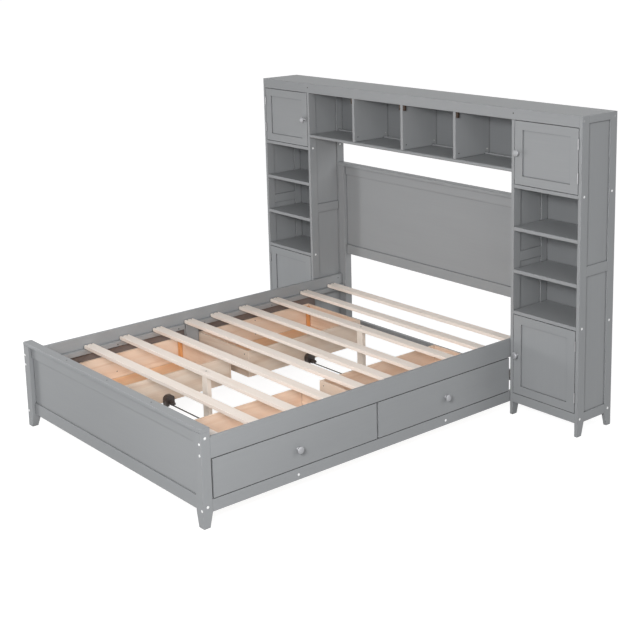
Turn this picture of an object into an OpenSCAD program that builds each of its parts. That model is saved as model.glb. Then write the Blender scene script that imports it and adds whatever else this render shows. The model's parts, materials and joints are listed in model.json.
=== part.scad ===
// Storage bed for a queen mattress, all in millimetres.
// It has a low footboard, a panelled headboard, four drawers under the slats,
// two tall cabinets beside the head and an open bridge of cubbies between them.
// X runs across the bed and +X is the side with the nearest drawers.
// +Y runs from the footboard to the headboard and +Z is up.
// The origin is on the floor, in the middle of the bed's footprint.
// Inside the modules Y is counted from the footboard's front face; placed() moves it.

/* [Mattress] */
// Width of the mattress that the bed takes
mattress_width = 1524; // [1370:1:1930]
// Length of the mattress that the bed takes
mattress_length = 2032; // [1900:1:2130]
// Free space on each long side of the mattress
mattress_side_gap = 10; // [5:1:20]
// Free space at each end of the mattress
mattress_end_gap = 7; // [4:1:20]

/* [Boards] */
// Thickness of rails, frames, shelves, doors and slats
board_t = 18; // [16:1:22]
// Thickness of the boards in the ends of the bed
end_rail_t = 22; // [18:1:26]
// Thickness of the infill panels in the frames
panel_t = 6; // [4:1:8]
// Thickness of the back panels of cabinets and bridge
back_t = 5; // [3:1:6]

/* [Posts] */
// Depth of every bed post along the bed
post_depth = 48; // [40:1:60]
// Width of a footboard post across the bed
foot_post_width = 52; // [44:1:60]
// Width of a headboard post across the bed
head_post_width = 50; // [44:1:60]
// Width of a post's tapered foot at the floor, across the bed
foot_tip_width = 38; // [30:1:42]
// Depth of a post's tapered foot at the floor, along the bed
foot_tip_depth = 32; // [26:1:38]
// Height at which the feet begin to taper
foot_height = 67; // [50:1:80]

/* [Footboard] */
// Height of the footboard with its cap
footboard_height = 443; // [400:1:600]
// Height of the footboard's upper rail
foot_top_rail = 59; // [40:1:80]
// Height of the footboard's lower rail
foot_low_rail = 60; // [40:1:80]

/* [Headboard] */
// Height of the headboard with its cap
headboard_height = 1084; // [900:1:1150]
// Height of the headboard's upper rail
head_top_rail = 51; // [40:1:80]
// Height of the lower edge of the headboard's panel frame
head_frame_z = 527; // [450:1:600]
// Height of the headboard's lower panel rail
head_low_rail = 56; // [40:1:80]

/* [Side rails and slats] */
// Height of the lower edge of the upper side rail
upper_rail_z = 304; // [290:1:320]
// Height of the upper side rail as a board
upper_rail_height = 94; // [80:1:110]
// Height of the lower side rail as a board
lower_rail_height = 54.5; // [45:0.5:60]
// Width of a slat
slat_width = 56; // [50:1:70]
// Height of the top of the slats above the floor
slat_top = 352; // [345:1:360]
// Distance from the foot post to the first slat
first_slat = 62; // [50:1:80]
// Distance between the fronts of neighbouring slats if evenly spread
slat_pitch = 207.1; // [200:0.1:208]
// Thickness of the support strip inside the side rail
ledger_width = 20; // [16:1:24]
// Height of the support strip inside the side rail
ledger_height = 27; // [20:1:30]

/* [Drawers] */
// Space between the two drawer fronts on one side
drawer_split = 10; // [8:1:14]
// Space between a drawer front and the post or cabinet beside it
drawer_end_gap = 8; // [6:1:12]
// Space above and below a drawer front
drawer_gap = 4; // [3:1:6]
// Depth of a drawer box behind its front
drawer_depth = 472; // [420:1:500]
// Height of a drawer box
drawer_box_height = 143; // [120:1:160]
// Thickness of the drawer box boards
box_t = 12; // [9:1:15]
// Thickness of a drawer's bottom sheet
bottom_t = 4; // [3:1:6]
// Diameter of a knob's head
knob_diameter = 35; // [28:1:40]
// How far a knob stands out
knob_reach = 29; // [24:1:34]

/* [Cabinets and bridge] */
// Width of one cabinet
cabinet_width = 436; // [380:1:460]
// Depth of cabinets and bridge
cabinet_depth = 259; // [240:1:300]
// Overall height
overall_height = 1576; // [1500:1:1650]
// Width of the uprights of the cabinet's side frames
stile_width = 50; // [40:1:60]
// Height of the top of the shelf under the upper door
upper_shelf_z = 1200; // [1150:1:1220]
// Height of the top of the upper open shelf
middle_shelf_z = 985; // [950:1:1020]
// Height of the top of the lower open shelf
lower_shelf_z = 768; // [730:1:800]
// Height of the top of the shelf over the lower door
door_shelf_z = 555; // [520:1:580]
// Height of the apron under the front of the top
apron_height = 55; // [45:1:70]
// Height of the top of the bridge's shelf
bridge_shelf_z = 1276; // [1240:1:1320]
// Distance between the bridge's upright dividers
divider_pitch = 396; // [370:1:400]
// Space around a cabinet door
door_gap = 3; // [2:1:4]
// Width of a door's uprights
door_stile = 49; // [40:1:60]
// Height of a door's cross rails
door_rail = 43; // [36:1:60]

/* [Hidden] */
// Derived sizes of the bed
well_width = mattress_width + 2 * mattress_side_gap;
well_length = mattress_length + 2 * mattress_end_gap;
half_well = well_width / 2;
half_bed = half_well + board_t;
bed_length = well_length + 2 * post_depth;
head_y = post_depth + well_length;
end_rail_setback = (post_depth - end_rail_t) / 2 + 3;
end_rail_y = end_rail_setback;
end_panel_y = end_rail_y + (end_rail_t + panel_t) / 2 - panel_t - 1;
foot_inner = half_bed - foot_post_width;
head_inner = half_bed - head_post_width;
cap_arris = 3;

// Hairline between boards that meet, so that each stays a board of its own
seam = 0.1;

// Derived sizes of side rails, slats and their supports
lower_rail_z = foot_height;
lower_rail_top = lower_rail_z + lower_rail_height;
ledger_top = slat_top - board_t;
slat_play = 2;
slat_count = 10;
slat_shift = [0, 9, 14, 11, 8, -25, -36, -19, -4, 0];
mullion_width = 80;
mullion_t = 24;
leg_width = 44;
leg_depth = 24;
leg_slats = [2, 7];
function slat_front(i) = post_depth + first_slat + i * slat_pitch + slat_shift[i];

// Derived sizes of the cabinets
cabinet_y = bed_length - cabinet_depth;
cabinet_back_y = bed_length - back_t;
cabinet_out = half_bed + cabinet_width;
bay_in = half_bed + board_t;
bay_out = cabinet_out - board_t;
plinth_height = 48;
plinth_z = 69;
plinth_top = plinth_z + plinth_height;
stile_tip = 32;
side_mid_rail_z = 800;
side_mid_rail = 50;
side_top_rail = 37;
side_panel_t = 4;
top_under = overall_height - board_t;
apron_z = overall_height - apron_height;

// Derived sizes of the drawers
split_shift = 10.5;
mullion_shift = 6;
split_y = (post_depth + cabinet_y) / 2 + split_shift;
mullion_y = split_y + mullion_shift;
strip_gap = 5;
front_bottom = lower_rail_top + drawer_gap;
front_top = upper_rail_z - drawer_gap;
slide_play = 0.5;
box_bottom = lower_rail_top + slide_play;
box_inset = 50;
bottom_lift = 6;
front_centre_z = (front_bottom + front_top) / 2;
block_w = 18;
guide_width = 52;
guide_t = 28;
guide_low = 106;
guide_top = 161;
guide_round = 20;
guide_shift = 10;
lug_reach = 36;
lug_width = 18;
lug_height = 14;
lug_pin_r = 3.5;
lug_pin_out = 1.5;
track_width = 8;
track_height = 3;
track_top = 117;
track_play = 2;
knob_shift = 8;
foot_drawer = [post_depth + drawer_end_gap, split_y - drawer_split / 2];
head_drawer = [split_y + drawer_split / 2, cabinet_y - drawer_end_gap];

// Derived sizes of the doors and their hinges
hinge_r = 3;
hinge_stand = hinge_r + 0.4;
hinge_x = bay_out - door_gap / 2;
hinge_y = cabinet_y - hinge_stand;
hinge_length = 50;
hinge_play = 0.3;
hinge_pin_r = 1.2;
leaf_t = 1;
leaf_depth = 15;
hinge_rise = 79;
hinge_drop = 74;
hinge_share = 0.27;
door_panel_recess = 6;
upper_door = [upper_shelf_z + door_gap, apron_z - door_gap];
lower_door = [plinth_top + door_gap, door_shelf_z - board_t - door_gap];
door_knob_inset = 24;

// Derived sizes of the fittings
cap_r = 6;
cap_tip_r = 4;
cap_out = 1.5;
end_bolt_shift = 4;
screw_r = 3.5;
screw_out = 0.6;
sink_r = 4.2;
sink_depth = 1.4;
post_bolt_side = 11;
post_bolt_low = 13;
rail_bolt_low = 22;
rail_bolt_high = 72;
end_bolt_drop = 26;
end_bolt_rise = 27;
rail_cap_rise = 24;
shelf_bolt_drop = 8;
top_bolt = [12, 24];
shelf_bolt_y = 23;
foot_bolt = [19, 21];
back_bolt_shift = 5;
slat_screw_y = 15;
strip_screw_end = 90;
strip_screw_drop = 3;
rail_screw_y = 33;
cap_screw_pitch = 380;
divider_screw_front = 25;
divider_screw_back = 18;
divider_screw_rise = 27;
batten_t = 13;
batten_height = 9;
batten_back = 22;
stay_w = 13;
stay_drop = 30;
stay_setback = 3;

$fn = 48;

// Moves what is drawn from the footboard's front face to the middle of the bed.
module placed() { translate([0, -bed_length / 2, 0]) children(); }

// Moves it and flips it to the -X side.
module placed_left() { placed() mirror([1, 0, 0]) children(); }

// Puts the same pieces on both long sides of the bed.
module both_sides() {
    placed() children();
    placed_left() children();
}

// A straight board between two corners.
module board(x, y, z) {
    translate([x[0], y[0], z[0]])
        cube([x[1] - x[0], y[1] - y[0], z[1] - z[0]]);
}

// A post whose two hidden sides slope in towards the floor.
// Its outer corner is at X = 0, Y = 0 and it reaches to -X and +Y.
module tapered_post(width, depth, height, tip_width, tip_depth, taper) {
    intersection() {
        translate([0, depth, 0]) rotate([90, 0, 0]) linear_extrude(depth)
            polygon([[0, 0], [0, height], [-width, height], [-width, taper],
                [-tip_width, 0]]);
        translate([-width, 0, 0]) rotate([90, 0, 90]) linear_extrude(width)
            polygon([[0, 0], [tip_depth, 0], [depth, taper], [depth, height],
                [0, height]]);
    }
}

// Section of a cap board with eased long edges, Y to the right and Z up.
module eased_section(depth, height, ease) {
    translate([ease, 0]) square([depth - 2 * ease, height]);
    translate([0, ease]) square([depth, height - 2 * ease]);
    for (y = [ease, depth - ease]) {
        for (z = [ease, height - ease]) {
            translate([y, z]) circle(r = ease);
        }
    }
}

// A board along X made from a section in Y and Z.
module along_x(half) {
    translate([-half, 0, 0]) rotate([90, 0, 90]) linear_extrude(2 * half) children();
}

// A turned knob with its seat at the origin, standing out along +Z.
module knob() {
    r = knob_diameter / 2;
    rotate_extrude() polygon([
        [0, 0], [r * 0.46, 0], [r * 0.46, 1.6], [r * 0.34, 3],
        [r * 0.26, knob_reach * 0.28], [r * 0.28, knob_reach * 0.45],
        [r * 0.5, knob_reach * 0.57], [r * 0.93, knob_reach * 0.63],
        [r, knob_reach * 0.7], [r * 0.95, knob_reach * 0.8],
        [r * 0.76, knob_reach * 0.91], [r * 0.42, knob_reach * 0.98],
        [0, knob_reach]
    ]);
}

// A low round cap over a bolt, its seat at the origin, standing out along +Z.
module bolt_cap() { cylinder(h = cap_out, r1 = cap_r, r2 = cap_tip_r); }

// A screw head, its seat at the origin, standing out along +Z.
module screw_head() { cylinder(h = screw_out, r1 = screw_r, r2 = screw_r - 0.8); }

// Turn what stands out along +Z to face another way.
module facing_front() { rotate([90, 0, 0]) children(); }
module facing_back() { rotate([-90, 0, 0]) children(); }
module facing_right() { rotate([0, 90, 0]) children(); }
module facing_left() { rotate([0, -90, 0]) children(); }

// Footboard
module foot_posts() {
    color("slategray") both_sides() translate([half_bed, 0, 0])
        tapered_post(foot_post_width, post_depth, footboard_height - board_t,
            foot_tip_width, foot_tip_depth, foot_height);
}

module foot_cap() {
    color("slategray") placed() translate([0, 0, footboard_height - board_t])
        along_x(half_bed) eased_section(post_depth, board_t, cap_arris);
}

module foot_rails() {
    low = lower_rail_z - 1;
    top = footboard_height - board_t;
    y = [end_rail_y, end_rail_y + end_rail_t];
    color("gray") placed() {
        board([-foot_inner, foot_inner], y, [top - foot_top_rail, top]);
        board([-foot_inner, foot_inner], y, [low, low + foot_low_rail]);
    }
}

module foot_panel() {
    low = lower_rail_z - 1 + foot_low_rail;
    top = footboard_height - board_t - foot_top_rail;
    color("darkgray") placed()
        board([-foot_inner, foot_inner], [end_panel_y, end_panel_y + panel_t], [low, top]);
}

// Headboard
module head_posts() {
    color("slategray") both_sides() translate([half_bed, bed_length, 0])
        mirror([0, 1, 0])
        tapered_post(head_post_width, post_depth, headboard_height - board_t,
            foot_tip_width, foot_tip_depth, foot_height);
}

module head_cap() {
    color("slategray") placed() translate([0, head_y, headboard_height - board_t])
        along_x(half_bed) eased_section(post_depth, board_t, cap_arris);
}

module head_rails() {
    top = headboard_height - board_t;
    y = [head_y + end_rail_y, head_y + end_rail_y + end_rail_t];
    color("gray") placed() {
        board([-head_inner, head_inner], y, [top - head_top_rail, top]);
        board([-head_inner, head_inner], y, [head_frame_z, head_frame_z + head_low_rail]);
        board([-head_inner, head_inner], y, [lower_rail_z, lower_rail_top]);
    }
}

module head_panel() {
    low = head_frame_z + head_low_rail;
    top = headboard_height - board_t - head_top_rail;
    y = head_y + end_panel_y;
    color("darkgray") placed()
        board([-head_inner, head_inner], [y, y + panel_t], [low, top]);
}

// Side rails with the pieces that carry slats and drawers
module upper_side_rails() {
    color("gray") both_sides() board([half_well, half_bed], [post_depth, head_y],
        [upper_rail_z, upper_rail_z + upper_rail_height]);
}

module lower_side_rails() {
    color("gray") both_sides() board([half_well, half_bed], [post_depth, head_y],
        [lower_rail_z, lower_rail_top]);
}

// Strips under the slats' ends, with the upright block between two drawers.
module slat_ledgers() {
    x = [half_well - ledger_width, half_well];
    y = [mullion_y - mullion_width / 2, mullion_y + mullion_width / 2];
    z = [ledger_top - ledger_height, ledger_top];
    color("dimgray") both_sides() {
        board(x, [post_depth, y[0] - strip_gap], z);
        board(x, [y[1] + strip_gap, head_y], z);
        board([half_well - mullion_t, half_well], y, [lower_rail_z, ledger_top]);
    }
}

// Where a slat's screws go: two over each support strip and one over a leg.
function is_leg_slat(i) = len([for (j = leg_slats) if (j == i) j]) > 0;
function slat_screws(i) = concat(
    [for (side = [-1, 1], dy = [slat_screw_y, slat_width - slat_screw_y])
        [side * (half_well - ledger_width / 2), slat_front(i) + dy]],
    is_leg_slat(i) ? [[0, slat_front(i) + slat_width / 2]] : []);

module slats() {
    reach = half_well - slat_play;
    color("burlywood") placed() for (i = [0 : slat_count - 1]) {
        difference() {
            board([-reach, reach], [slat_front(i), slat_front(i) + slat_width],
                [ledger_top, slat_top]);
            for (p = slat_screws(i)) {
                translate([p[0], p[1], slat_top - sink_depth])
                    cylinder(h = sink_depth + 1, r = sink_r);
            }
        }
    }
}

module centre_legs() {
    color("tan") placed() for (i = leg_slats) {
        y = slat_front(i) + (slat_width - leg_depth) / 2;
        board([-leg_width / 2, leg_width / 2], [y, y + leg_depth], [0, ledger_top]);
    }
}

// Two flat metal strips across the bed, one behind each pair of drawers.
function drawer_centre(d) = (d[0] + d[1]) / 2 + guide_shift;
function drawer_knob_y(d) = (d[0] + d[1]) / 2 - knob_shift;

module drawer_tracks() {
    color("black") placed() for (d = [foot_drawer, head_drawer]) {
        y = drawer_centre(d);
        board([-half_well, half_well], [y - track_width / 2, y + track_width / 2],
            [track_top - track_height, track_top]);
    }
}

// Drawers, each drawn for the +X side
module drawer_front(d) {
    board([half_well, half_bed], d, [front_bottom, front_top]);
}

module drawer_box(d) {
    y = [d[0] + box_inset, d[1] - box_inset];
    x = [half_well - drawer_depth, half_well];
    z = [box_bottom, box_bottom + drawer_box_height];
    board(x, [y[0], y[0] + box_t], z);
    board(x, [y[1] - box_t, y[1]], z);
    inside = [y[0] + box_t + seam, y[1] - box_t - seam];
    board([x[0], x[0] + box_t], inside, z);
    board([x[1] - box_t, x[1]], inside, z);
    low = box_bottom + bottom_lift + bottom_t;
    for (yb = [inside[0], inside[1] - block_w]) {
        board([x[1] - box_t - seam - block_w, x[1] - box_t - seam], [yb, yb + block_w],
            [low, z[1] - box_t]);
    }
}

module drawer_bottom(d) {
    y = [d[0] + box_inset + box_t, d[1] - box_inset - box_t];
    x = [half_well - drawer_depth + box_t, half_well - box_t];
    z = box_bottom + bottom_lift;
    board(x, y, [z, z + bottom_t]);
}

// A plastic guide on the back of the box: a body with a rounded top that straddles the
// strip, and a lug with a pin that runs on along it.
module drawer_guide(d) {
    r = guide_round;
    slot = track_width / 2 + track_play;
    slot_top = track_top + slide_play;
    half = guide_width / 2;
    lug_y = lug_width / 2;
    lug_r = lug_height / 2;
    translate([half_well - drawer_depth, drawer_centre(d), 0]) union() {
        translate([-guide_t, 0, 0]) rotate([90, 0, 90]) linear_extrude(guide_t) {
            translate([-half, slot_top]) square([guide_width, guide_top - r - slot_top]);
            translate([-half, guide_low]) square([half - slot, slot_top - guide_low]);
            translate([slot, guide_low]) square([half - slot, slot_top - guide_low]);
            translate([-half + r, guide_top - r]) square([guide_width - 2 * r, r]);
            for (side = [-1, 1]) {
                translate([side * (half - r), guide_top - r]) circle(r = r);
            }
        }
        translate([0, lug_y, 0]) rotate([90, 0, 0]) linear_extrude(lug_width) {
            translate([-guide_t - lug_reach + lug_r, slot_top])
                square([lug_reach - lug_r + 1, lug_height]);
            translate([-guide_t - lug_reach + lug_r, slot_top + lug_r]) circle(r = lug_r);
        }
        translate([-guide_t - lug_reach + lug_r, lug_y + lug_pin_out, slot_top + lug_r])
            rotate([90, 0, 0]) cylinder(h = lug_width + 2 * lug_pin_out, r = lug_pin_r);
    }
}

module drawer_knob(d) {
    translate([half_bed, drawer_knob_y(d), front_centre_z]) facing_right() knob();
}

module drawer_rf_front() { color("gray") placed() drawer_front(foot_drawer); }
module drawer_rf_box() { color("tan") placed() drawer_box(foot_drawer); }
module drawer_rf_bottom() { color("peru") placed() drawer_bottom(foot_drawer); }
module drawer_rf_guide() { color("black") placed() drawer_guide(foot_drawer); }
module drawer_rf_knob() { color("silver") placed() drawer_knob(foot_drawer); }

module drawer_rh_front() { color("gray") placed() drawer_front(head_drawer); }
module drawer_rh_box() { color("tan") placed() drawer_box(head_drawer); }
module drawer_rh_bottom() { color("peru") placed() drawer_bottom(head_drawer); }
module drawer_rh_guide() { color("black") placed() drawer_guide(head_drawer); }
module drawer_rh_knob() { color("silver") placed() drawer_knob(head_drawer); }

module drawer_lf_front() { color("gray") placed_left() drawer_front(foot_drawer); }
module drawer_lf_box() { color("tan") placed_left() drawer_box(foot_drawer); }
module drawer_lf_bottom() { color("peru") placed_left() drawer_bottom(foot_drawer); }
module drawer_lf_guide() { color("black") placed_left() drawer_guide(foot_drawer); }
module drawer_lf_knob() { color("silver") placed_left() drawer_knob(foot_drawer); }

module drawer_lh_front() { color("gray") placed_left() drawer_front(head_drawer); }
module drawer_lh_box() { color("tan") placed_left() drawer_box(head_drawer); }
module drawer_lh_bottom() { color("peru") placed_left() drawer_bottom(head_drawer); }
module drawer_lh_guide() { color("black") placed_left() drawer_guide(head_drawer); }
module drawer_lh_knob() { color("silver") placed_left() drawer_knob(head_drawer); }

// Cabinet side frames, drawn for the +X cabinet
module front_stile(x, cut_z) {
    union() {
        intersection() {
            translate([x, cabinet_y, 0]) rotate([90, 0, 90]) linear_extrude(board_t)
                polygon([[0, 0], [stile_tip, 0], [stile_width, plinth_z],
                    [stile_width, overall_height], [0, overall_height]]);
            board([x, x + board_t], [cabinet_y, cabinet_y + stile_width], [0, cut_z[0]]);
        }
        board([x, x + board_t], [cabinet_y + cut_z[2], cabinet_y + stile_width],
            [cut_z[0] - 1, cut_z[1]]);
    }
}

module back_stile(x, top) {
    translate([x, bed_length, 0]) mirror([0, 1, 0])
        rotate([90, 0, 90]) linear_extrude(board_t)
        polygon([[0, 0], [stile_tip, 0], [stile_width, plinth_z],
            [stile_width, top], [0, top]]);
}

module cabinet_stiles() {
    color("slategray") both_sides() {
        front_stile(bay_out, [apron_z, overall_height, 0]);
        front_stile(half_bed, [apron_z, top_under, board_t]);
        back_stile(bay_out, overall_height);
        back_stile(half_bed, top_under);
    }
}

module cabinet_side_rails() {
    y = [cabinet_y + stile_width, bed_length - stile_width];
    color("gray") both_sides() for (side = [[half_bed, top_under], [bay_out, overall_height]]) {
        x = [side[0], side[0] + board_t];
        board(x, y, [plinth_z, plinth_top - 1]);
        board(x, y, [side_mid_rail_z, side_mid_rail_z + side_mid_rail]);
        board(x, y, [overall_height - side_top_rail, side[1]]);
    }
}

module cabinet_side_panels() {
    y = [cabinet_y + stile_width, bed_length - stile_width];
    inset = (board_t - side_panel_t) / 2;
    color("darkgray") both_sides() for (x0 = [half_bed + inset, bay_out + inset]) {
        x = [x0, x0 + side_panel_t];
        board(x, y, [plinth_top - 1, side_mid_rail_z]);
        board(x, y, [side_mid_rail_z + side_mid_rail, overall_height - side_top_rail]);
    }
}

module cabinet_shelves() {
    color("gray") both_sides()
        for (z = [upper_shelf_z, middle_shelf_z, lower_shelf_z, door_shelf_z]) {
            board([bay_in, bay_out], [cabinet_y, cabinet_back_y], [z - board_t, z]);
        }
}

module cabinet_plinths() {
    color("gray") both_sides() {
        board([bay_in, bay_out], [cabinet_y, cabinet_y + board_t], [plinth_z, plinth_top]);
        board([bay_in, bay_out], [cabinet_y + board_t + seam, cabinet_back_y],
            [plinth_top - board_t, plinth_top]);
    }
}

module back_panels() {
    y = [cabinet_back_y, bed_length];
    color("darkgray") {
        both_sides() board([bay_in, bay_out], y, [plinth_z, top_under]);
        placed() board([-half_bed, half_bed], y, [bridge_shelf_z - board_t, top_under]);
    }
}

// Top and bridge
module top_board() {
    color("slategray") placed() board([-bay_out, bay_out],
        [cabinet_y + board_t, bed_length], [top_under, overall_height]);
}

module apron() {
    color("slategray") placed() board([-bay_out, bay_out],
        [cabinet_y, cabinet_y + board_t], [apron_z, overall_height]);
}

module bridge_shelf() {
    r = board_t / 2;
    depth = cabinet_back_y - cabinet_y;
    color("gray") placed() translate([0, cabinet_y, bridge_shelf_z - board_t])
        along_x(half_bed) {
            translate([r, 0]) square([depth - r, board_t]);
            translate([r, r]) circle(r = r);
        }
}

module bridge_dividers() {
    color("gray") placed() for (x = [-divider_pitch, 0, divider_pitch]) {
        union() {
            board([x - board_t / 2, x + board_t / 2], [cabinet_y, cabinet_back_y],
                [bridge_shelf_z, apron_z]);
            board([x - board_t / 2, x + board_t / 2], [cabinet_y + board_t, cabinet_back_y],
                [apron_z - 1, top_under]);
        }
    }
}

module bridge_blocks() {
    bays = [[-half_bed, -divider_pitch - board_t / 2],
        [-divider_pitch + board_t / 2, -board_t / 2],
        [board_t / 2, divider_pitch - board_t / 2],
        [divider_pitch + board_t / 2, half_bed]];
    y = cabinet_back_y - batten_back;
    color("dimgray") placed() {
        for (bay = bays) {
            board(bay, [y - batten_t, y], [bridge_shelf_z, bridge_shelf_z + batten_height]);
        }
    }
    color("saddlebrown") both_sides() for (x = [0, divider_pitch]) {
        board([x + board_t / 2, x + board_t / 2 + stay_w],
            [cabinet_y + stay_setback, cabinet_y + stay_setback + stay_w],
            [apron_z - stay_drop, apron_z]);
    }
}

// Doors, drawn for the +X cabinet
module door_frame(z) {
    x = [bay_in + door_gap, bay_out - door_gap];
    y = [cabinet_y, cabinet_y + board_t];
    board([x[0], x[0] + door_stile], y, z);
    board([x[1] - door_stile, x[1]], y, z);
    between = [x[0] + door_stile + seam, x[1] - door_stile - seam];
    board(between, y, [z[1] - door_rail, z[1]]);
    board(between, y, [z[0], z[0] + door_rail]);
}

module door_panel(z) {
    x = [bay_in + door_gap + door_stile, bay_out - door_gap - door_stile];
    y = cabinet_y + door_panel_recess;
    board(x, [y, y + panel_t], [z[0] + door_rail, z[1] - door_rail]);
}

// Heights of the middles of a door's two hinges.
function hinge_heights(z) = [z[0] + min(hinge_rise, (z[1] - z[0]) * hinge_share),
    z[1] - min(hinge_drop, (z[1] - z[0]) * hinge_share)];

// The hinge's parts that stay on the cabinet: outer knuckles, pin and leaf.
module hinge_fixed_half() {
    third = hinge_length / 3;
    for (z = [[0, third], [2 * third, hinge_length]]) {
        translate([hinge_x, hinge_y, z[0]]) cylinder(h = z[1] - z[0], r = hinge_r);
        board([bay_out - leaf_t, bay_out], [hinge_y, cabinet_y + leaf_depth], z);
    }
    board([bay_out - leaf_t, bay_out], [cabinet_y, cabinet_y + leaf_depth],
        [0, hinge_length]);
    translate([hinge_x, hinge_y, 0]) cylinder(h = hinge_length, r = hinge_pin_r);
}

// The hinge's parts that turn with the door: middle knuckle and leaf.
module hinge_moving_half() {
    third = hinge_length / 3;
    z = [third + hinge_play, 2 * third - hinge_play];
    x = bay_out - door_gap;
    difference() {
        union() {
            translate([hinge_x, hinge_y, z[0]])
                cylinder(h = z[1] - z[0], r = hinge_r);
            board([x, x + leaf_t], [hinge_y, cabinet_y + leaf_depth], z);
        }
        translate([hinge_x, hinge_y, z[0] - 1])
            cylinder(h = z[1] - z[0] + 2, r = hinge_pin_r + 0.1);
    }
    board([x, x + leaf_t], [cabinet_y, cabinet_y + leaf_depth], [1, hinge_length - 1]);
}

module door_fittings(z) {
    for (h = hinge_heights(z)) {
        translate([0, 0, h - hinge_length / 2]) hinge_moving_half();
    }
    translate([bay_in + door_gap + door_knob_inset, cabinet_y, (z[0] + z[1]) / 2])
        facing_front() knob();
}

module frame_hinges() {
    color("silver") both_sides() for (z = [upper_door, lower_door], h = hinge_heights(z)) {
        translate([0, 0, h - hinge_length / 2]) union() hinge_fixed_half();
    }
}

module door_ru_frame() { color("gray") placed() door_frame(upper_door); }
module door_ru_panel() { color("darkgray") placed() door_panel(upper_door); }
module door_ru_fittings() { color("silver") placed() door_fittings(upper_door); }
module door_rl_frame() { color("gray") placed() door_frame(lower_door); }
module door_rl_panel() { color("darkgray") placed() door_panel(lower_door); }
module door_rl_fittings() { color("silver") placed() door_fittings(lower_door); }
module door_lu_frame() { color("gray") placed_left() door_frame(upper_door); }
module door_lu_panel() { color("darkgray") placed_left() door_panel(upper_door); }
module door_lu_fittings() { color("silver") placed_left() door_fittings(upper_door); }
module door_ll_frame() { color("gray") placed_left() door_frame(lower_door); }
module door_ll_panel() { color("darkgray") placed_left() door_panel(lower_door); }
module door_ll_fittings() { color("silver") placed_left() door_fittings(lower_door); }

// Caps over the bolts in posts, side rails and cabinet frames
module bolt_caps() {
    end_bolt_y = end_rail_y + end_rail_t / 2 - end_bolt_shift;
    front_bolts = [upper_rail_z + rail_bolt_low, upper_rail_z + rail_bolt_high,
        lower_rail_z + post_bolt_low];
    end_bolts = [footboard_height - board_t - end_bolt_drop, lower_rail_z + end_bolt_rise];
    rail_bolts = [drawer_knob_y(foot_drawer), drawer_knob_y(head_drawer)];
    frame_bolts = [[top_bolt[0], overall_height - top_bolt[1]],
        [shelf_bolt_y, upper_shelf_z - shelf_bolt_drop],
        [shelf_bolt_y, door_shelf_z - shelf_bolt_drop],
        [foot_bolt[0], plinth_z + foot_bolt[1]]];
    over_headboard = max(upper_shelf_z - shelf_bolt_drop, headboard_height + 2 * cap_r);
    color("whitesmoke") both_sides() {
        for (z = front_bolts) {
            translate([half_bed - post_bolt_side, 0, z]) facing_front() bolt_cap();
        }
        for (z = end_bolts) {
            translate([half_bed, end_bolt_y, z]) facing_right() bolt_cap();
        }
        for (y = rail_bolts) {
            translate([half_bed, y, lower_rail_z + rail_cap_rise]) facing_right() bolt_cap();
        }
        for (b = frame_bolts) {
            translate([cabinet_out, cabinet_y + b[0], b[1]]) facing_right() bolt_cap();
            translate([cabinet_out, bed_length - b[0] - back_bolt_shift, b[1]])
                facing_right() bolt_cap();
        }
        for (b = [frame_bolts[1], frame_bolts[2]]) {
            translate([half_bed, cabinet_y + b[0], b[1]]) facing_left() bolt_cap();
        }
        translate([half_bed, bed_length - shelf_bolt_y - back_bolt_shift, over_headboard])
            facing_left() bolt_cap();
    }
}

// Heads of the wood screws that hold slats, strips, apron and cap
module screws() {
    strip_x = half_well - ledger_width;
    strip_z = ledger_top - ledger_height / 2 - strip_screw_drop;
    from_block = mullion_width / 2 + strip_screw_end / 2;
    strip_ys = [post_depth + strip_screw_end, (post_depth + mullion_y) / 2,
        mullion_y - from_block, mullion_y + from_block, (mullion_y + head_y) / 2,
        head_y - strip_screw_end];
    color("dimgray") {
        both_sides() {
            for (y = strip_ys) {
                translate([strip_x, y, strip_z]) facing_left() screw_head();
            }
            translate([half_well, head_y - rail_screw_y, upper_rail_z + rail_bolt_high])
                facing_left() screw_head();
            translate([half_bed + board_t / 2, cabinet_y, overall_height - top_bolt[1]])
                facing_front() screw_head();
            for (x = [-divider_pitch, 0, divider_pitch],
                y = [cabinet_y + divider_screw_front, cabinet_back_y - divider_screw_back]) {
                translate([x + board_t / 2, y, bridge_shelf_z + divider_screw_rise])
                    facing_right() screw_head();
            }
        }
        placed() {
            for (i = [0 : slat_count - 1], p = slat_screws(i)) {
                translate([p[0], p[1], slat_top - sink_depth]) screw_head();
            }
            for (x = [-cap_screw_pitch, 0, cap_screw_pitch]) {
                translate([x, post_depth / 2, footboard_height]) screw_head();
            }
        }
    }
}

foot_posts();
foot_cap();
foot_rails();
foot_panel();
head_posts();
head_cap();
head_rails();
head_panel();
upper_side_rails();
lower_side_rails();
slat_ledgers();
slats();
centre_legs();
drawer_tracks();
cabinet_stiles();
cabinet_side_rails();
cabinet_side_panels();
cabinet_shelves();
cabinet_plinths();
back_panels();
top_board();
apron();
bridge_shelf();
bridge_dividers();
bridge_blocks();
frame_hinges();
bolt_caps();
screws();
drawer_rf_front();
drawer_rf_box();
drawer_rf_bottom();
drawer_rf_guide();
drawer_rf_knob();
drawer_rh_front();
drawer_rh_box();
drawer_rh_bottom();
drawer_rh_guide();
drawer_rh_knob();
drawer_lf_front();
drawer_lf_box();
drawer_lf_bottom();
drawer_lf_guide();
drawer_lf_knob();
drawer_lh_front();
drawer_lh_box();
drawer_lh_bottom();
drawer_lh_guide();
drawer_lh_knob();
door_ru_frame();
door_ru_panel();
door_ru_fittings();
door_rl_frame();
door_rl_panel();
door_rl_fittings();
door_lu_frame();
door_lu_panel();
door_lu_fittings();
door_ll_frame();
door_ll_panel();
door_ll_fittings();
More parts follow.
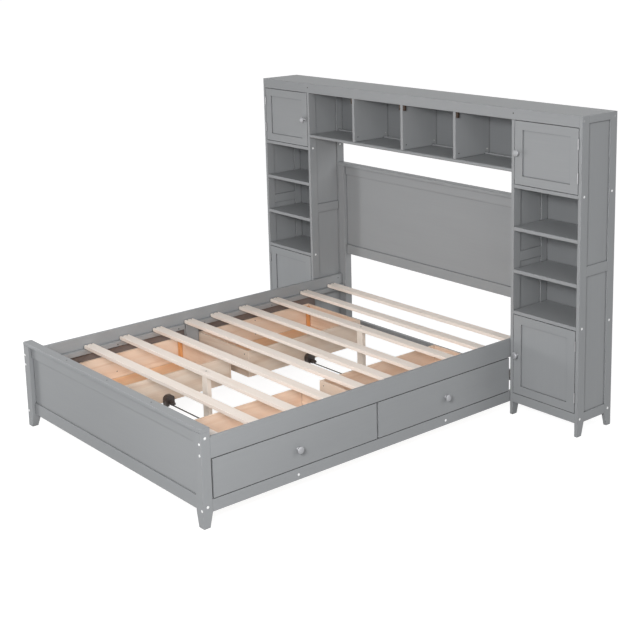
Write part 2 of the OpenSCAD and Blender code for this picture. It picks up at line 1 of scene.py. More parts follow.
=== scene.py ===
"""Looks of the storage bed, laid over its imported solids.

Every board gets eased edges and paint or bare wood that runs along it. Knobs, caps and screw
heads are made anew in a finer form. Then come the floor, the world, the lamps and the camera.
"""

import json
import math

import bmesh
import bpy
from mathutils import Matrix, Vector


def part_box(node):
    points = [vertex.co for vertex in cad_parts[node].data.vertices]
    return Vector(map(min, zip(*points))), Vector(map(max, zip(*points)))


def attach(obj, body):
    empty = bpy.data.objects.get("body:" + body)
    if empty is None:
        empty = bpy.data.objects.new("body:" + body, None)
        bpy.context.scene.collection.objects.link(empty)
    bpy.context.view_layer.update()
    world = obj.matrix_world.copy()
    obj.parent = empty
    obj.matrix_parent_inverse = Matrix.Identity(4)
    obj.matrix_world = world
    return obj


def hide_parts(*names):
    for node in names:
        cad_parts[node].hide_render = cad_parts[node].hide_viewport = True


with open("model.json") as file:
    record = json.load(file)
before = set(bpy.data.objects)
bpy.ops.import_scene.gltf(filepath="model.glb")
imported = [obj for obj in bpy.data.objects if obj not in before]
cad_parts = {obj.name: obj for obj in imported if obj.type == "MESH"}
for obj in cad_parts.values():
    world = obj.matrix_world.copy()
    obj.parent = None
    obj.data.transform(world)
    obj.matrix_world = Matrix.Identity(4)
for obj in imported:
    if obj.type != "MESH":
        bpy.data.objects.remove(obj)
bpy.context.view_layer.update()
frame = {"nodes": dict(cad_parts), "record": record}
nodes = frame["nodes"]
bodies = frame["record"]["behaviour"]["bodies"]
node_body = {node: body for body, members in bodies.items() for node in members}
scene = bpy.context.scene

MM = 0.001


# Camera, fitted to the corners in the photograph: metres, degrees and millimetres

CAMERA_PLACE = Vector((4.8651, -3.7199, 2.4149))
CAMERA_YAW, CAMERA_PITCH, CAMERA_ROLL = 49.473, -11.598, -1.137
CAMERA_LENS, CAMERA_SENSOR = 70.286, 36
CAMERA_SHIFT = (-0.0469, -0.2)
CAMERA_NEAR, CAMERA_FAR = 0.05, 500


def make_camera():
    yaw, pitch, roll = (math.radians(a) for a in (CAMERA_YAW, CAMERA_PITCH, CAMERA_ROLL))
    level_reach = math.cos(pitch)
    ahead = Vector((-math.sin(yaw) * level_reach, math.cos(yaw) * level_reach, math.sin(pitch)))
    level = ahead.cross(Vector((0, 0, 1))).normalized()
    upright = level.cross(ahead)
    right = level * math.cos(roll) + upright * math.sin(roll)
    up = upright * math.cos(roll) - level * math.sin(roll)
    data = bpy.data.cameras.new("camera")
    data.sensor_width = CAMERA_SENSOR
    data.lens = CAMERA_LENS
    data.shift_x, data.shift_y = CAMERA_SHIFT
    data.clip_start, data.clip_end = CAMERA_NEAR, CAMERA_FAR
    camera = bpy.data.objects.new("camera", data)
    turn = Matrix((right, up, -ahead)).transposed()
    camera.matrix_world = Matrix.Translation(CAMERA_PLACE) @ turn.to_4x4()
    scene.collection.objects.link(camera)
    scene.camera = camera


# Materials

GRAIN_MAP = "grain"
BLACK, WHITE = (0, 0, 0, 1), (1, 1, 1, 1)


def linear(r, g, b):
    """A colour given as it looks on screen, 0 to 255, as shader values by the sRGB curve."""
    def one(v):
        v /= 255
        return v / 12.92 if v <= 0.04045 else ((v + 0.055) / 1.055) ** 2.4
    return (one(r), one(g), one(b), 1.0)


def darkened(colour, share):
    return tuple(v * share for v in colour[:3]) + (1.0,)


class Shader:
    """A material whose textures run along each board's own length."""

    def __init__(self, name, rough, metal=0.0, specular=None):
        self.material = bpy.data.materials.new(name)
        self.material.use_nodes = True
        self.tree = self.material.node_tree
        self.main = self.tree.nodes["Principled BSDF"]
        self.main.inputs["Roughness"].default_value = rough
        self.main.inputs["Metallic"].default_value = metal
        if specular is not None:
            self.main.inputs["Specular IOR Level"].default_value = specular
        self.place = self.tree.nodes.new("ShaderNodeUVMap")
        self.place.uv_map = GRAIN_MAP

    def node(self, kind, **values):
        made = self.tree.nodes.new(kind)
        for key, value in values.items():
            if key in made.inputs:
                made.inputs[key].default_value = value
            else:
                setattr(made, key, value)
        return made

    def link(self, a, b):
        self.tree.links.new(a, b)

    def stretched(self, along, across):
        """Board coordinates with a texture scale along and across the grain, per metre."""
        m = self.node("ShaderNodeMapping", Scale=(along, across, across))
        self.link(self.place.outputs["UV"], m.inputs["Vector"])
        return m.outputs["Vector"]

    def noise(self, vector, detail=3.0, rough=0.5, scale=1.0, distortion=0.0):
        n = self.node(
            "ShaderNodeTexNoise",
            Scale=scale, Detail=detail, Roughness=rough, Distortion=distortion,
        )
        self.link(vector, n.inputs["Vector"])
        return n.outputs["Fac"]

    def ramp(self, value, stops):
        r = self.node("ShaderNodeValToRGB")
        ends = r.color_ramp.elements
        while len(ends) < len(stops):
            ends.new(0.5)
        for end, (at, colour) in zip(ends, stops):
            end.position = at
            end.color = colour
        self.link(value, r.inputs["Fac"])
        return r.outputs["Color"]

    def between(self, value, low, high):
        """Spreads a 0 to 1 value between two numbers."""
        m = self.node("ShaderNodeMapRange")
        m.inputs["To Min"].default_value = low
        m.inputs["To Max"].default_value = high
        self.link(value, m.inputs["Value"])
        return m.outputs["Result"]

    def mix(self, amount, first, second, mode="MIX"):
        """Mixes sockets or plain colours by a number or a socket."""
        m = self.node("ShaderNodeMix", data_type="RGBA", blend_type=mode)
        share, a, b = m.inputs[0], m.inputs[6], m.inputs[7]
        for socket, value in ((share, amount), (a, first), (b, second)):
            if isinstance(value, (float, tuple)):
                socket.default_value = value
            else:
                self.link(value, socket)
        return m.outputs[2]

    def bump(self, height, strength, distance, after=None):
        b = self.node("ShaderNodeBump", Strength=strength, Distance=distance)
        self.link(height, b.inputs["Height"])
        if after is not None:
            self.link(after, b.inputs["Normal"])
        return b.outputs["Normal"]

    def painted_corner_shade(self, colour, reach, deep):
        """Painted shade: darkens a colour within reach of an inner corner, recess or gap, down to
        a share.
        """
        near = self.node("ShaderNodeAmbientOcclusion", samples=8, Distance=reach)
        tones = ((0.25, deep), (0.55, (deep + 2) / 3), (0.96, 1.0))
        stops = [(at, (tone, tone, tone, 1.0)) for at, tone in tones]
        return self.mix(1.0, colour, self.ramp(near.outputs["AO"], stops), mode="MULTIPLY")

    def use(self, colour, rough, normal):
        self.link(colour, self.main.inputs["Base Color"])
        self.link(rough, self.main.inputs["Roughness"])
        self.link(normal, self.main.inputs["Normal"])
        return self.material


def painted_wood(name, light, dark):
    """Sprayed satin paint over wood: a trace of the grain and brushing, and painted shade in
    joints.
    """
    s = Shader(name, rough=0.42, specular=0.1)
    cloud = s.noise(s.stretched(along=1.3, across=5), detail=3)
    streak = s.noise(s.stretched(along=2.2, across=130), detail=4, rough=0.6)
    fine = s.noise(s.stretched(along=60, across=60), detail=4, rough=0.65, scale=8)
    tone = s.mix(0.35, cloud, streak)
    colour = s.ramp(tone, [(0.25, dark), (0.75, light)])
    # Painted shade: darker within reach of inner corners, panel recesses and the gaps between
    # parts
    colour = s.painted_corner_shade(colour, reach=0.010, deep=0.36)
    shine = s.between(s.mix(0.5, cloud, fine), 0.34, 0.5)
    grain = s.bump(streak, strength=0.07, distance=0.0005)
    peel = s.bump(fine, strength=0.05, distance=0.0002, after=grain)
    return s.use(colour, shine, peel)


def bare_wood(name, pale, middle, deep, contrast=0.35):
    """Planed softwood: soft wavy rings, fine fibres, stains and a few faint knots."""
    rough, knots = 0.6, 0.5
    s = Shader(name, rough=rough, specular=0.3)
    rings = s.noise(
        s.stretched(along=0.8, across=9), detail=3, rough=0.55, scale=2.0, distortion=1.4,
    )
    fibre = s.noise(s.stretched(along=7, across=240), detail=4, rough=0.6)
    stain = s.noise(s.stretched(along=2.2, across=5), detail=3)
    base = s.ramp(rings, [(0.3, pale), (0.52, middle), (0.72, deep)])
    base = s.mix(1 - contrast, base, middle)
    base = s.mix(s.between(fibre, 0.0, 0.3), base, deep)
    base = s.mix(s.between(stain, 0.0, 0.4), base, pale)
    dots = s.node("ShaderNodeTexVoronoi", feature="F1", Scale=1.0)
    s.link(s.stretched(along=1.9, across=5.2), dots.inputs["Vector"])
    knot = s.ramp(dots.outputs["Distance"], [(0.03, WHITE), (0.11, BLACK)])
    base = s.mix(s.mix(1 - knots, knot, BLACK), base, darkened(deep, 0.6))
    # Painted shade: darker within reach of inner corners and the gaps between parts
    base = s.painted_corner_shade(base, reach=0.006, deep=0.4)
    relief = s.bump(fibre, strength=0.16, distance=0.0004)
    return s.use(base, s.between(fibre, rough - 0.08, rough + 0.1), relief)


def plain(name, colour, rough, metal=0.0, strength=0.08, vary=0.12):
    """Plastic or metal with a fine surface and a little uneven gloss."""
    s = Shader(name, rough=rough, metal=metal)
    speck = s.noise(s.stretched(along=400, across=400), detail=3)
    cloud = s.noise(s.stretched(along=25, across=25), detail=2)
    tone = s.ramp(cloud, [(0.3, darkened(colour, 1 - vary)), (0.7, colour)])
    shine = s.between(cloud, rough * 0.85, rough * 1.2)
    return s.use(tone, shine, s.bump(speck, strength=strength, distance=0.0002))


# Screen colours of bare wood: pale, middle and deep
WOODS = {
    "pine_slat": ((252, 244, 237), (247, 236, 226), (232, 212, 194)),
    "pine_leg": ((250, 242, 232), (246, 234, 222), (228, 208, 190)),
    "drawer_board": ((248, 234, 220), (240, 218, 198), (206, 168, 136)),
    "block_wood": ((240, 186, 130), (230, 166, 108), (204, 134, 80)),
    "stay_wood": ((84, 66, 54), (66, 52, 43), (44, 36, 31)),
    "raw_back": ((130, 118, 114), (114, 104, 100), (90, 82, 78)),
    "plywood": ((250, 214, 178), (246, 200, 160), (228, 170, 126)),
}
STRONG_FIGURE = {"drawer_board": 0.6, "plywood": 0.55}

# Screen colours of paint: light and dark
PAINTS = {
    "grey_paint": ((158, 160, 162), (152, 154, 156)),
    # A darker copy of the grey paint for the back panels: painted shade inside the cubbies and
    # bays
    "shaded_back_paint": ((140, 142, 144), (134, 136, 138)),
}

# Screen colour and finish of plastics and metals
FITTINGS = {
    "black_plastic": ((66, 56, 52), {"rough": 0.4, "strength": 0.2}),
    "dark_metal": ((66, 62, 60), {"rough": 0.42, "metal": 0.5}),
    "bright_metal": (
        (168, 169, 172), {"rough": 0.5, "metal": 0.3, "strength": 0.04, "vary": 0.05},
    ),
    "hinge_metal": ((176, 176, 178), {"rough": 0.34, "metal": 1.0, "strength": 0.12}),
    "cap_plastic": ((246, 246, 246), {"rough": 0.35, "strength": 0.04, "vary": 0.03}),
    "grey_cap": ((164, 165, 167), {"rough": 0.28, "strength": 0.04, "vary": 0.05}),
    "dark_screw": ((52, 46, 42), {"rough": 0.4, "metal": 0.4, "strength": 0.2}),
    "sunk_screw": ((40, 45, 52), {"rough": 0.6, "strength": 0.2}),
    "screw_metal": ((214, 212, 208), {"rough": 0.35, "metal": 0.5, "strength": 0.2}),
}


def make_materials():
    made = {}
    for name, tones in WOODS.items():
        contrast = STRONG_FIGURE.get(name, 0.35)
        made[name] = bare_wood(name, *(linear(*tone) for tone in tones), contrast=contrast)
    for name, tones in PAINTS.items():
        made[name] = painted_wood(name, *(linear(*tone) for tone in tones))
    for name, (tone, finish) in FITTINGS.items():
        made[name] = plain(name, linear(*tone), **finish)
    return made


# Meshes, with lengths in metres and angles in degrees

WELD = 0.00002
FLAT = 1.0
BEND_TO_EASE = 25
BEND_TO_CREASE = 50
METAL_BEND_TO_CREASE = 35
SHORTEST_EASED_EDGE = 9.0 * MM
EASE_STEPS = 2
SEAM_GROWTH = 0.08 * MM
SAME_LEVEL = 1e-5
ON_AXIS = 1e-6
ALONG_AXIS = 0.5
FACING_AWAY = 0.9

# Where a board's piece of the texture starts: steps by seed and by count, and where they wrap
SEED_STEPS, COUNT_STEPS, WRAPS = (3.17, 1.31), (1.73, 0.77), (41, 17)
SIDE_STEP = 0.31


def solids_mesh(node):
    """A node's solids as one welded mesh."""
    bm = bmesh.new()
    bm.from_mesh(nodes[node].data)
    bmesh.ops.remove_doubles(bm, verts=bm.verts, dist=WELD)
    return bm


def flatten(bm):
    """Joins faces that lie in one plane."""
    flat = math.radians(FLAT)
    bmesh.ops.dissolve_limit(bm, angle_limit=flat, verts=bm.verts, edges=bm.edges)


def crease(bm, bend):
    """Keeps the edges that bend more than an angle sharp to the eye."""
    for e in bm.edges:
        e.smooth = not (len(e.link_faces) == 2 and e.calc_face_angle(0) > math.radians(bend))


def islands(bm):
    """The separate boards of a mesh, as lists of faces, in the mesh's own order."""
    left = set(bm.faces)
    found = []
    for first in bm.faces:
        if first not in left:
            continue
        left.remove(first)
        group, edge = [first], [first]
        while edge:
            for e in edge.pop().edges:
                for f in e.link_faces:
                    if f in left:
                        left.remove(f)
                        group.append(f)
                        edge.append(f)
        found.append(group)
    return found


def box_corners(faces):
    """The lowest and the highest corner of the box round some faces."""
    points = [v.co for f in faces for v in f.verts]
    low = Vector([min(p[i] for p in points) for i in range(3)])
    high = Vector([max(p[i] for p in points) for i in range(3)])
    return low, high


def grain_map(bm, seed):
    """Lays board coordinates in metres, the first along the board's longest side.

    Each board takes its own piece of the texture, by the piece's seed and the board's count.
    """
    uv = bm.loops.layers.uv.get(GRAIN_MAP) or bm.loops.layers.uv.new(GRAIN_MAP)
    for count, faces in enumerate(islands(bm)):
        low, high = box_corners(faces)
        along, wide, thin = sorted(range(3), key=lambda i: low[i] - high[i])
        shift = [
            (seed * by_seed + count * by_count) % wrap
            for by_seed, by_count, wrap in zip(SEED_STEPS, COUNT_STEPS, WRAPS)
        ]
        for f in faces:
            facing = max(range(3), key=lambda i: abs(f.normal[i]))
            u, v = {along: (wide, thin), wide: (along, thin), thin: (along, wide)}[facing]
            for loop in f.loops:
                p = loop.vert.co
                loop[uv].uv = (p[u] + shift[0], p[v] + shift[1] + SIDE_STEP * facing)


def mesh_object(name, bm):
    """A new object of a mesh, which this frees."""
    mesh = bpy.data.meshes.new(name)
    bm.to_mesh(mesh)
    bm.free()
    made = bpy.data.objects.new(name, mesh)
    scene.collection.objects.link(made)
    return made


def finish_mesh(bm, name, body, material, seed, smooth=True):
    """A piece with its grain, material, body and slot."""
    grain_map(bm, seed)
    for f in bm.faces:
        f.smooth = smooth
    made = mesh_object(name, bm)
    made.data.materials.append(material)
    if smooth:
        weigh = made.modifiers.new("even_normals", "WEIGHTED_NORMAL")
        weigh.weight = 100
        weigh.keep_sharp = True
    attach(made, body)
    return made


def grow(bm, amount):
    """Moves all faces of square boards outwards by one distance."""
    bm.normal_update()
    for v, move in [(v, v.normal * v.calc_shell_factor() * amount) for v in bm.verts]:
        v.co += move


def island_object(bm, faces):
    """An object of some of the faces of a mesh."""
    copy = bm.copy()
    keep = {f.index for f in faces}
    spare = [f for f in copy.faces if f.index not in keep]
    bmesh.ops.delete(copy, geom=spare, context="FACES")
    return mesh_object("part", copy)


def fuse(bm):
    """Boards glued and painted as one: closes the hairlines between them."""
    grow(bm, SEAM_GROWTH)
    bm.faces.index_update()
    parts = [island_object(bm, faces) for faces in islands(bm)]
    whole = parts[0]
    for other in parts[1:]:
        joint = whole.modifiers.new("joint", "BOOLEAN")
        joint.operation = "UNION"
        joint.solver = "EXACT"
        joint.object = other
    shown = whole.evaluated_get(bpy.context.evaluated_depsgraph_get())
    bm.clear()
    bm.from_mesh(shown.to_mesh())
    shown.to_mesh_clear()
    for part in parts:
        mesh = part.data
        bpy.data.objects.remove(part)
        bpy.data.meshes.remove(mesh)
    bmesh.ops.remove_doubles(bm, verts=bm.verts, dist=WELD)
    flatten(bm)
    grow(bm, -SEAM_GROWTH)


def eased_copy(node, material, width, glued=False):
    """A node's boards with rounded edges; glued ones show no line where they meet."""
    bm = solids_mesh(node)
    flatten(bm)
    if glued:
        fuse(bm)
    bm.normal_update()
    sharp = [
        e for e in bm.edges
        if len(e.link_faces) == 2
        and e.calc_face_angle(0) > math.radians(BEND_TO_EASE)
        and e.calc_length() > SHORTEST_EASED_EDGE
    ]
    bmesh.ops.bevel(
        bm, geom=sharp, offset=width * MM, segments=EASE_STEPS, profile=0.5,
        affect="EDGES", clamp_overlap=True, miter_outer="ARC",
    )
    crease(bm, BEND_TO_CREASE)
    seed = sorted(nodes).index(node)
    made = finish_mesh(bm, node + "_eased", node_body[node], material, seed)
    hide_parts(node)
    return made


def lathe(profile, steps):
    """A closed turned solid about +Z from (radius, height) points, in millimetres."""
    bm = bmesh.new()
    rows = []
    for r, z in profile:
        if r < ON_AXIS:
            rows.append([bm.verts.new((0, 0, z * MM))])
        else:
            rows.append(ring(bm, r, z, steps))
    for low, high in zip(rows, rows[1:]):
        for i in range(steps):
            j = (i + 1) % steps
            four = [low[i % len(low)], low[j % len(low)], high[j % len(high)], high[i % len(high)]]
            corners = list(dict.fromkeys(four))
            if len(corners) > 2:
                bm.faces.new(corners)
    bmesh.ops.recalc_face_normals(bm, faces=bm.faces)
    return bm


def ring(bm, r, z, steps):
    """New points on a circle about +Z, in millimetres."""
    turn = (2 * math.pi * i / steps for i in range(steps))
    return [bm.verts.new((r * MM * math.cos(a), r * MM * math.sin(a), z * MM)) for a in turn]


def smooth_profile(points, between):
    """Rounds a coarse profile with a Catmull-Rom curve through its points."""
    made = []
    for i in range(len(points) - 1):
        p0 = Vector(points[max(i - 1, 0)])
        p1, p2 = Vector(points[i]), Vector(points[i + 1])
        p3 = Vector(points[min(i + 2, len(points) - 1)])
        for k in range(between):
            t = k / between
            q = 0.5 * (2 * p1 + (p2 - p0) * t + (2 * p0 - 5 * p1 + 4 * p2 - p3) * t * t
                       + (3 * p1 - p0 - 3 * p2 + p3) * t ** 3)
            made.append((max(q[0], 0.0), q[1]))
    made.append(tuple(points[-1]))
    return made


def faced(direction):
    """Turns +Z to a direction."""
    return Vector(direction).to_track_quat("Z", "Y").to_matrix().to_4x4()


def join_copies(source, places):
    """Copies of a small mesh at (point, direction, spin) places, as one mesh."""
    whole = bmesh.new()
    part = bpy.data.meshes.new("part")
    source.to_mesh(part)
    for point, direction, spin in places:
        copy = bmesh.new()
        copy.from_mesh(part)
        turn = faced(direction) @ Matrix.Rotation(spin, 4, "Z")
        move = Matrix.Translation(Vector(point)) @ turn
        bmesh.ops.transform(copy, matrix=move, verts=copy.verts)
        placed = bpy.data.meshes.new("placed")
        copy.to_mesh(placed)
        copy.free()
        whole.from_mesh(placed)
        bpy.data.meshes.remove(placed)
    bpy.data.meshes.remove(part)
    source.free()
    return whole


def seats(node):
    """Where each round fitting of a node sits, and which way it stands out: to its small end."""
    bm = solids_mesh(node)
    made = []
    for faces in islands(bm):
        low, high = box_corners(faces)
        size = high - low
        axis = min(range(3), key=lambda i: size[i])
        middle = (low + high) / 2
        points = [v.co for f in faces for v in f.verts]
        low_spread, high_spread = (
            max((p - middle).length for p in points if abs(p[axis] - side) < SAME_LEVEL)
            for side in (low[axis], high[axis])
        )
        out = 1 if low_spread > high_spread else -1
        seat = middle.copy()
        seat[axis] = low[axis] if out > 0 else high[axis]
        direction = Vector((0, 0, 0))
        direction[axis] = out
        made.append((seat, direction))
    bm.free()
    return made


# Fittings, with profiles and sizes in millimetres

KNOB = [
    (0, 0), (7.9, 0), (8.0, 1.0), (7.4, 2.2), (5.6, 4.4), (4.7, 8.0), (5.0, 12.6), (7.6, 15.6),
    (12.8, 17.4), (16.2, 18.7), (17.4, 20.4), (17.1, 22.6), (15.2, 25.2), (11.2, 27.4),
    (6.0, 28.6), (0, 29),
]
KNOB_STEPS, KNOB_BETWEEN = 48, 4
DOOR_KNOB_INSET = 24
KNOB_SPACE = 40

CAP = [(0, 0), (5.9, 0), (5.95, 0.3), (5.6, 0.8), (4.7, 1.2), (3.4, 1.42), (1.8, 1.48), (0, 1.5)]
CAP_STEPS, CAP_BETWEEN = 28, 3
GREY_CAPS_FROM = 1500 * MM

HEAD_RADIUS, HEAD_HEIGHT, HEAD_EDGE = 3.4, 0.6, 0.5
HEAD_STEPS = 24
SUNK_RADIUS, SUNK_HEIGHT = 4.1, 1.2
DRAWER_HEAD_RADIUS = 3.0
CROSS_WIDTH, CROSS_REACH, CROSS_DEPTH, CROSS_TAPER = 0.55, 2.0, 0.45, 0.8
SPIN_STEP = 0.7

# Screws in a drawer: inset from the ends of the box, and heights above the floor in metres
FRONT_SCREW_INSET, FRONT_SCREW_HEIGHTS = 12, (0.249, 0.168)
BACK_SCREW_INSET, BACK_SCREW_HEIGHTS = 30, (0.245, 0.160)


def turned_knob(seat, out):
    profile = smooth_profile(KNOB, KNOB_BETWEEN)
    return join_copies(lathe(profile, KNOB_STEPS), [(seat, out, 0)])


def make_knobs(materials):
    """A turned knob in place of each drawer's, on the seat of its solid."""
    metal = materials["bright_metal"]
    for node in nodes:
        if not node.endswith("_knob"):
            continue
        low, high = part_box(node)
        out = 1 if low.x > 0 else -1
        seat = Vector((low.x if out > 0 else high.x, (low.y + high.y) / 2, (low.z + high.z) / 2))
        bm = turned_knob(seat, Vector((out, 0, 0)))
        made = finish_mesh(bm, node + "_turned", node_body[node], metal, seed=3)
        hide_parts(node)


def make_door_fittings(materials):
    """A turned knob and the moving hinge halves of each door."""
    for node in sorted(n for n in nodes if n.endswith("_fittings")):
        frame_low, frame_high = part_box(node.replace("_fittings", "_frame"))
        inset = DOOR_KNOB_INSET * MM
        inner = frame_low.x + inset if frame_low.x > 0 else frame_high.x - inset
        seat = Vector((inner, frame_low.y, (frame_low.z + frame_high.z) / 2))
        knob = turned_knob(seat, Vector((0, -1, 0)))
        halves = solids_mesh(node)
        plain_knob = [
            f for faces in islands(halves) for f in faces
            if min((v.co - seat).length for g in faces for v in g.verts) < KNOB_SPACE * MM
        ]
        bmesh.ops.delete(halves, geom=plain_knob, context="FACES")
        crease(halves, METAL_BEND_TO_CREASE)
        body = node_body[node]
        bright, hinge = materials["bright_metal"], materials["hinge_metal"]
        a = finish_mesh(knob, node + "_turned", body, bright, seed=3)
        b = finish_mesh(halves, node + "_leaves", body, hinge, seed=4)
        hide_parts(node)
        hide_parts(node)


def dress_hinges(materials):
    """The fixed hinge halves keep their solids and take a brushed finish."""
    bm = solids_mesh("frame_hinges")
    crease(bm, METAL_BEND_TO_CREASE)
    metal = materials["hinge_metal"]
    made = finish_mesh(bm, "frame_hinges_brushed", "frame", metal, seed=8)
    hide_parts("frame_hinges")


def make_caps(materials):
    """White bolt caps; those at the very top of the cabinets are grey."""
    places = [(seat, out, 0) for seat, out in seats("bolt_caps")]
    for name, material, chosen in (
        ("bolt_caps_domed", "cap_plastic", [p for p in places if p[0].z < GREY_CAPS_FROM]),
        ("bolt_caps_grey", "grey_cap", [p for p in places if p[0].z >= GREY_CAPS_FROM]),
    ):
        bm = join_copies(lathe(smooth_profile(CAP, CAP_BETWEEN), CAP_STEPS), chosen)
        made = finish_mesh(bm, name, "frame", materials[material], seed=5)
        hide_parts("bolt_caps")


def screw_mesh(radius=HEAD_RADIUS, height=HEAD_HEIGHT):
    """A flat screw head with a cross recess."""
    bm = bmesh.new()
    top = ring(bm, radius - HEAD_EDGE, height, HEAD_STEPS)
    low = ring(bm, radius, 0, HEAD_STEPS)
    for i in range(HEAD_STEPS):
        j = (i + 1) % HEAD_STEPS
        bm.faces.new((low[i], low[j], top[j], top[i]))
    bm.faces.new(low[::-1])
    s, r = CROSS_WIDTH, CROSS_REACH
    quarter = ((s, -r), (s, -s), (r, -s))
    outline = []
    for turn_x, turn_y in ((1, 0), (0, 1), (-1, 0), (0, -1)):
        outline += [(x * turn_x - y * turn_y, x * turn_y + y * turn_x) for x, y in quarter]
    rim = [bm.verts.new((x * MM, y * MM, height * MM)) for x, y in outline]
    floor = (height - CROSS_DEPTH) * MM
    pit = [bm.verts.new((x * MM * CROSS_TAPER, y * MM * CROSS_TAPER, floor)) for x, y in outline]
    for i in range(len(outline)):
        j = (i + 1) % len(outline)
        bm.faces.new((rim[i], rim[j], pit[j], pit[i])[::-1])
    bm.faces.new(pit)
    edges = [
        bm.edges.get((loop[i], loop[(i + 1) % len(loop)]))
        for loop in (top, rim) for i in range(len(loop))
    ]
    bmesh.ops.triangle_fill(bm, edges=edges, use_beauty=True)
    bmesh.ops.recalc_face_normals(bm, faces=bm.faces)
    return bm


def make_screws(materials):
    """Sunk heads in the slats, zinc ones at the back of the bridge's dividers, the rest dark."""
    places = [(seat, out, SPIN_STEP * i) for i, (seat, out) in enumerate(seats("screws"))]
    low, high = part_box("bridge_dividers")
    back = (low.y + high.y) / 2
    zinc = [p for p in places if p[0].y > back and p[0].z > low.z and abs(p[1].x) > ALONG_AXIS]
    slats_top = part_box("slats")[1].z
    sunk = [p for p in places if p[1].z > ALONG_AXIS and p[0].z < slats_top]
    other = [p for p in places if p not in zinc and p not in sunk]
    for name, material, head, chosen in (
        ("screws_crossed", "dark_screw", screw_mesh(), other),
        ("screws_sunk", "sunk_screw", screw_mesh(SUNK_RADIUS, SUNK_HEIGHT), sunk),
        ("screws_zinc", "screw_metal", screw_mesh(), zinc),
    ):
        bm = join_copies(head, chosen)
        look = materials[material]
        made = finish_mesh(bm, name, "frame", look, seed=6, smooth=False)
        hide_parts("screws")


def make_drawer_screws(materials):
    """Screw heads inside each drawer, on the board behind the front and at the back corners.

    Their height also serves as their spin, so that the crosses differ.
    """
    dark = materials["dark_screw"]
    for node in sorted(n for n in nodes if n.endswith("_box")):
        low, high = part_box(node)
        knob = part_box(node.replace("_box", "_knob"))
        middle = (knob[0].y + knob[1].y) / 2
        sign = 1 if low.x > 0 else -1
        front, rear = (high.x, low.x) if sign > 0 else (low.x, high.x)
        inner = front - sign * FRONT_SCREW_INSET * MM
        back = rear + sign * BACK_SCREW_INSET * MM
        places = [
            (Vector((inner, middle, z)), Vector((-sign, 0, 0)), z) for z in FRONT_SCREW_HEIGHTS
        ]
        for z in BACK_SCREW_HEIGHTS:
            places.append((Vector((back, low.y, z)), Vector((0, -1, 0)), z))
            places.append((Vector((back, high.y, z)), Vector((0, 1, 0)), z * 2))
        bm = join_copies(screw_mesh(DRAWER_HEAD_RADIUS), places)
        body = node_body[node]
        finish_mesh(bm, node + "_screws", body, dark, seed=7, smooth=False)


# Boards, with the width of their eased edges in millimetres

EASE = {
    "slats": 2.2, "centre_legs": 1.5, "drawer_tracks": 0.8, "slat_ledgers": 1.0,
    "top_board": 1.6, "apron": 1.0, "bridge_blocks": 0.8, "back_panels": 0.5,
    "foot_cap": 0.8, "head_cap": 0.8, "cabinet_stiles": 0.9,
}
EASE_OTHERS, EASE_FRONTS, EASE_DRAWERS = 1.2, 0.7, 0.8
SLOTS = {"slats": "pine_slat", "centre_legs": "pine_leg", "drawer_tracks": "dark_metal"}
DRAWER_SLOTS = {"_box": "drawer_board", "_bottom": "plywood", "_guide": "black_plastic"}
LONGEST_BLOCK = 160 * MM


def dress_boards(materials):
    for node in sorted(nodes):
        ending = "_" + node.split("_")[-1]
        if node in ("bolt_caps", "screws", "frame_hinges") or ending in ("_knob", "_fittings"):
            continue
        slot = SLOTS.get(node) or DRAWER_SLOTS.get(ending, "grey_paint")
        width = EASE.get(node, EASE_OTHERS)
        if ending in ("_frame", "_front"):
            width = EASE_FRONTS
        if ending in DRAWER_SLOTS:
            width = EASE_DRAWERS
        # The back panels take the darker copy of the paint, as painted shade inside the cubbies
        # and bays
        look = materials["shaded_back_paint" if node == "back_panels" else slot]
        made = eased_copy(node, look, width, glued=node.startswith("door_"))
        if ending == "_box":
            recolour_blocks(made, materials["block_wood"])
        if node == "bridge_blocks":
            recolour_blocks(made, materials["stay_wood"])
        if ending == "_front":
            bare_back(made, materials["raw_back"])


def recolour_blocks(made, material):
    """Gives the small blocks among the boards of a piece another material."""
    made.data.materials.append(material)
    last = len(made.data.materials) - 1
    bm = bmesh.new()
    bm.from_mesh(made.data)
    for faces in islands(bm):
        low, high = box_corners(faces)
        if (high - low).length < LONGEST_BLOCK:
            for f in faces:
                f.material_index = last
    bm.to_mesh(made.data)
    bm.free()


def bare_back(made, material):
    """Leaves the hidden side of a drawer front unpainted."""
    made.data.materials.append(material)
    side = 1 if made.data.vertices[0].co.x > 0 else -1
    for face in made.data.polygons:
        if face.normal.x * side < -FACING_AWAY:
            face.material_index = 1


# Surroundings: the floor's tone to light, and its shade and glow to the camera; the world alike

FLOOR_HALF = 150.0
FLOOR_TONE = (0.42, 0.42, 0.42, 1)
FLOOR_SEEN = (0.24, 0.24, 0.24, 1)
FLOOR_GLOW = 0.92
WORLD_LEVEL = 0.28
WORLD_SEEN = 1.0


def seen_share(tree):
    """1 for rays that show the surroundings: seen, mirrored or through something clear."""
    seen = tree.nodes.new("ShaderNodeLightPath")
    share = seen.outputs["Is Camera Ray"]
    for other in ("Is Glossy Ray", "Is Transmission Ray"):
        either = tree.nodes.new("ShaderNodeMath")
        either.operation = "MAXIMUM"
        tree.links.new(share, either.inputs[0])
        tree.links.new(seen.outputs[other], either.inputs[1])
        share = either.outputs[0]
    return share


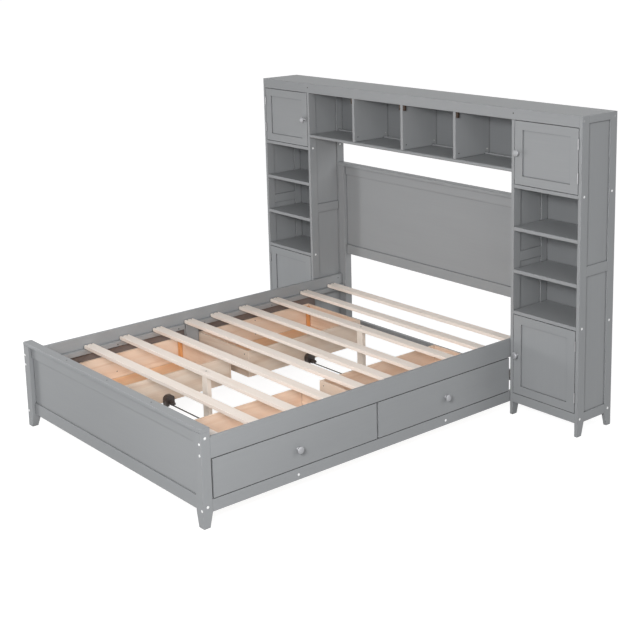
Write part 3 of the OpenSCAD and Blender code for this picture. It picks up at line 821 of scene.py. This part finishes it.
def make_floor():
    """A floor that stays white to the camera and keeps a soft shadow."""
    mesh = bpy.data.meshes.new("floor")
    h = FLOOR_HALF
    mesh.from_pydata([(-h, -h, 0), (h, -h, 0), (h, h, 0), (-h, h, 0)], [], [(0, 1, 2, 3)])
    floor = bpy.data.objects.new("floor", mesh)
    scene.collection.objects.link(floor)
    material = bpy.data.materials.new("floor")
    material.use_nodes = True
    tree = material.node_tree
    tree.nodes.clear()
    out = tree.nodes.new("ShaderNodeOutputMaterial")
    blend = tree.nodes.new("ShaderNodeMixShader")
    lit = tree.nodes.new("ShaderNodeBsdfDiffuse")
    lit.inputs["Color"].default_value = FLOOR_TONE
    shaded = tree.nodes.new("ShaderNodeBsdfDiffuse")
    shaded.inputs["Color"].default_value = FLOOR_SEEN
    glow = tree.nodes.new("ShaderNodeEmission")
    glow.inputs["Strength"].default_value = FLOOR_GLOW
    white = tree.nodes.new("ShaderNodeAddShader")
    tree.links.new(shaded.outputs[0], white.inputs[0])
    tree.links.new(glow.outputs[0], white.inputs[1])
    tree.links.new(seen_share(tree), blend.inputs["Fac"])
    tree.links.new(lit.outputs[0], blend.inputs[1])
    tree.links.new(white.outputs[0], blend.inputs[2])
    tree.links.new(blend.outputs[0], out.inputs["Surface"])
    mesh.materials.append(material)


def make_world():
    """An even white surround, weak as a light and white to the camera."""
    world = bpy.data.worlds.new("studio")
    world.use_nodes = True
    tree = world.node_tree
    ground = tree.nodes["Background"]
    ground.inputs["Color"].default_value = WHITE
    level = tree.nodes.new("ShaderNodeMapRange")
    level.inputs["To Min"].default_value = WORLD_LEVEL
    level.inputs["To Max"].default_value = WORLD_SEEN
    tree.links.new(seen_share(tree), level.inputs["Value"])
    tree.links.new(level.outputs["Result"], ground.inputs["Strength"])
    scene.world = world


def make_sun(name, direction, strength, angle):
    """A distant soft lamp that shines from a direction, as wide as an angle in degrees."""
    data = bpy.data.lights.new(name, "SUN")
    data.energy = strength
    data.angle = math.radians(angle)
    lamp = bpy.data.objects.new(name, data)
    lamp.matrix_world = faced(direction)
    scene.collection.objects.link(lamp)


def make_lamp(name, place, target, size, power):
    """A round lamp that faces a point and is never in view: metres and watts."""
    data = bpy.data.lights.new(name, "AREA")
    data.shape = "DISK"
    data.size = size
    data.energy = power
    lamp = bpy.data.objects.new(name, data)
    place = Vector(place)
    lamp.matrix_world = Matrix.Translation(place) @ faced(place - Vector(target))
    lamp.visible_camera = False
    scene.collection.objects.link(lamp)


def make_lights():
    make_lamp("left_light", place=(-2.7, -1.85, 0.8), target=(-0.4, -1.0, 0.3), size=0.6, power=30)
    make_lamp("bed_light", place=(-0.1, -0.6, 1.45), target=(-0.1, -0.6, 0.0), size=1.0, power=1.8)
    make_sun("back_light", direction=(0.74, 0.42, 0.5), strength=0.57, angle=30)
    make_sun("right_light", direction=(0.82, -0.42, 0.38), strength=0.28, angle=20)
    make_sun("rear_light", direction=(-0.3, 0.9, 0.08), strength=1.5, angle=30)
    make_lamp("front_light", place=(3.3, -3.9, 2.75), target=(0.6, 0.0, 0.8), size=1.3, power=188)


make_camera()
materials = make_materials()
dress_boards(materials)
make_knobs(materials)
make_door_fittings(materials)
dress_hinges(materials)
make_caps(materials)
make_screws(materials)
make_drawer_screws(materials)
make_floor()
make_world()
make_lights()

scene.view_settings.view_transform = "Standard"
